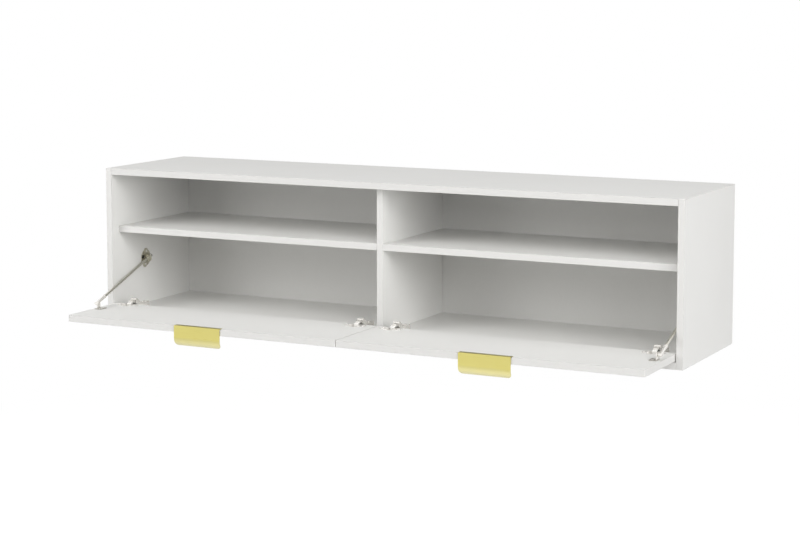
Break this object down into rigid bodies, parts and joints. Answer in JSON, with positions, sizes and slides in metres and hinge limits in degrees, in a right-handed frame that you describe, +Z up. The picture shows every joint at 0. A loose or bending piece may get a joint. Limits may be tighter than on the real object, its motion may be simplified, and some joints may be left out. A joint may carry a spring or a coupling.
{
  "type": "wall-hung media console",
  "caption": "Low, wide wall-hung console with open niches above and drop-down flaps below on cup hinges and sliding-rod stays.",
  "frame": {"origin": "middle of the back panel's rear face, in the plane of the wall", "axes": "+X to the right seen from the front, +Y into the wall, +Z up"},
  "size_m": [1.5, 0.5413, 0.385],
  "materials": {
    "white_board": "matt white laminated board with edge banding",
    "white_back": "white painted fibreboard",
    "yellow_gold": "satin yellow-gold anodised strip",
    "nickel": "bright nickel plate",
    "dark_nickel": "satin nickel plate",
    "zinc": "zinc plate"
  },
  "bodies": {
    "carcass": {"left_side": "white_board", "right_side": "white_board", "top_panel": "white_board", "bottom_panel": "white_board", "divider": "white_board", "left_shelf": "white_board", "right_shelf": "white_board", "back_panel": "white_back", "left_outer_wall_angle": "zinc", "left_inner_wall_angle": "zinc", "right_inner_wall_angle": "zinc", "right_outer_wall_angle": "zinc", "left_top_front_cam_lock": "zinc", "left_top_front_cam_bolt": "zinc", "left_top_back_cam_lock": "zinc", "left_top_back_cam_bolt": "zinc", "left_bottom_front_cam_lock": "zinc", "left_bottom_front_cam_bolt": "zinc", "left_bottom_back_cam_lock": "zinc", "left_bottom_back_cam_bolt": "zinc", "right_top_front_cam_lock": "zinc", "right_top_front_cam_bolt": "zinc", "right_top_back_cam_lock": "zinc", "right_top_back_cam_bolt": "zinc", "right_bottom_front_cam_lock": "zinc", "right_bottom_front_cam_bolt": "zinc", "right_bottom_back_cam_lock": "zinc", "right_bottom_back_cam_bolt": "zinc", "left_outer_hinge_arm": "nickel", "left_outer_hinge_plate": "dark_nickel", "left_inner_hinge_arm": "nickel", "left_inner_hinge_plate": "dark_nickel", "right_outer_hinge_arm": "nickel", "right_outer_hinge_plate": "dark_nickel", "right_inner_hinge_arm": "nickel", "right_inner_hinge_plate": "dark_nickel", "left_stay_plate": "nickel", "right_stay_plate": "nickel"},
    "left_door": {"left_flap": "white_board", "left_pull": "yellow_gold", "left_outer_hinge_cup": "nickel", "left_inner_hinge_cup": "nickel", "left_stay_foot": "nickel"},
    "right_door": {"right_flap": "white_board", "right_pull": "yellow_gold", "right_outer_hinge_cup": "nickel", "right_inner_hinge_cup": "nickel", "right_stay_foot": "nickel"},
    "left_swivel": {"left_stay_barrel": "nickel"},
    "right_swivel": {"right_stay_barrel": "nickel"},
    "left_slider": {"left_stay_rod": "dark_nickel", "left_stay_sleeve": "nickel", "left_stay_stop": "nickel"},
    "right_slider": {"right_stay_rod": "dark_nickel", "right_stay_sleeve": "nickel", "right_stay_stop": "nickel"}
  },
  "joints": [
    {"name": "left_flap_hinge", "type": "hinge", "parent": "carcass", "child": "left_door", "pos_m": [-0.3665, -0.337, -0.1645], "axis": [-1, 0, 0], "range_deg": [0, 90]},
    {"name": "right_flap_hinge", "type": "hinge", "parent": "carcass", "child": "right_door", "pos_m": [0.3665, -0.337, -0.1645], "axis": [-1, 0, 0], "range_deg": [0, 90]},
    {"name": "left_stay_swivel", "type": "hinge", "parent": "carcass", "child": "left_swivel", "pos_m": [-0.7265, -0.205, -0.055], "axis": [-1, 0, 0], "range_deg": [0, 12.26]},
    {"name": "right_stay_swivel", "type": "hinge", "parent": "carcass", "child": "right_swivel", "pos_m": [0.7265, -0.205, -0.055], "axis": [-1, 0, 0], "range_deg": [0, 12.26]},
    {"name": "left_stay_slide", "type": "slide", "parent": "left_swivel", "child": "left_slider", "axis": [0, 0.9367, 0.3502], "range_m": [0, 0.1332]},
    {"name": "right_stay_slide", "type": "slide", "parent": "right_swivel", "child": "right_slider", "axis": [0, 0.9367, 0.3502], "range_m": [0, 0.1332]}
  ],
  "couplings": [
    {"joint": "left_stay_swivel", "follows": "left_flap_hinge", "ratio": 0.13622},
    {"joint": "right_stay_swivel", "follows": "right_flap_hinge", "ratio": 0.13622},
    {"joint": "left_stay_slide", "follows": "left_flap_hinge", "m_per_rad": 0.084798},
    {"joint": "right_stay_slide", "follows": "right_flap_hinge", "m_per_rad": 0.084798}
  ]
}
